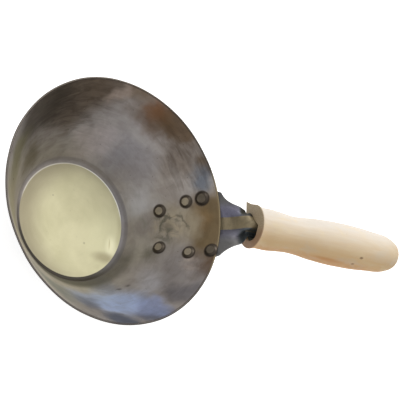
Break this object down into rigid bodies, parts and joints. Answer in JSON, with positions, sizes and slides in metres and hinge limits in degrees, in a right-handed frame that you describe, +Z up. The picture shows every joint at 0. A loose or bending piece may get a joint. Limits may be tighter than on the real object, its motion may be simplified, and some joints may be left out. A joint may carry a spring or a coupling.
{
  "type": "pouring ladle",
  "caption": "Flat-bottomed conical pan of sheet steel with a pressed bracket riveted outside its wall and a turned wooden grip.",
  "frame": {"origin": "middle of the underside of the base", "axes": "+Z up out of the bowl, +X from the bowl's middle towards the grip"},
  "size_m": [0.378, 0.1992, 0.1275],
  "materials": {
    "bowl_steel": "satin",
    "bracket_steel": "satin",
    "rivet_steel": "satin",
    "grip_wood": "matte"
  },
  "bodies": {
    "root": {"bowl": "bowl_steel", "handle_bracket": "bracket_steel", "rivet_left_lower": "rivet_steel", "rivet_left_middle": "rivet_steel", "rivet_left_upper": "rivet_steel", "rivet_right_lower": "rivet_steel", "rivet_right_middle": "rivet_steel", "rivet_right_upper": "rivet_steel", "wooden_grip": "grip_wood"}
  },
  "joints": []
}
